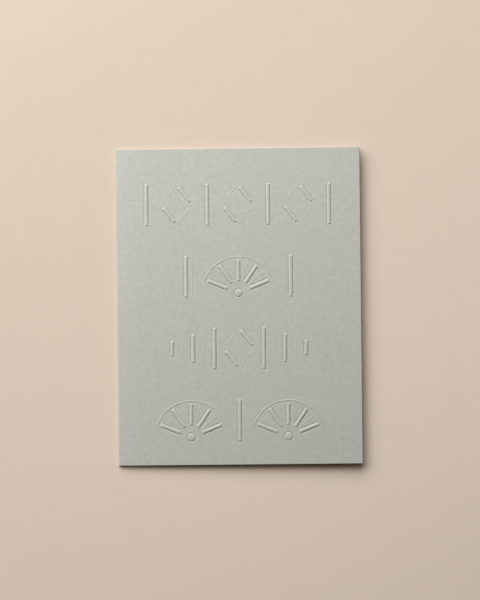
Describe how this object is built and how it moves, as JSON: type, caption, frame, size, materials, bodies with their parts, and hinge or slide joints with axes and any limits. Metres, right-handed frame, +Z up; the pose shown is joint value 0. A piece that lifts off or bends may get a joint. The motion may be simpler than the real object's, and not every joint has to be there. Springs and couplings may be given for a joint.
{
  "type": "greeting card",
  "caption": "Folded paper greeting card with a blind-embossed geometric front, lying closed on its back panel with the front panel sprung slightly open.",
  "frame": {"origin": "middle of the bounding box's bottom, on the back panel's outer face", "axes": "+X from the fold to the open edge, +Y to the card's top edge, +Z up out of the embossed front"},
  "size_m": [0.108, 0.1396, 0.0039],
  "materials": {
    "card_stock": "uncoated warm grey stock with a soft felt grain, blind-embossed without ink"
  },
  "bodies": {
    "root": {"card": "card_stock"}
  },
  "joints": []
}
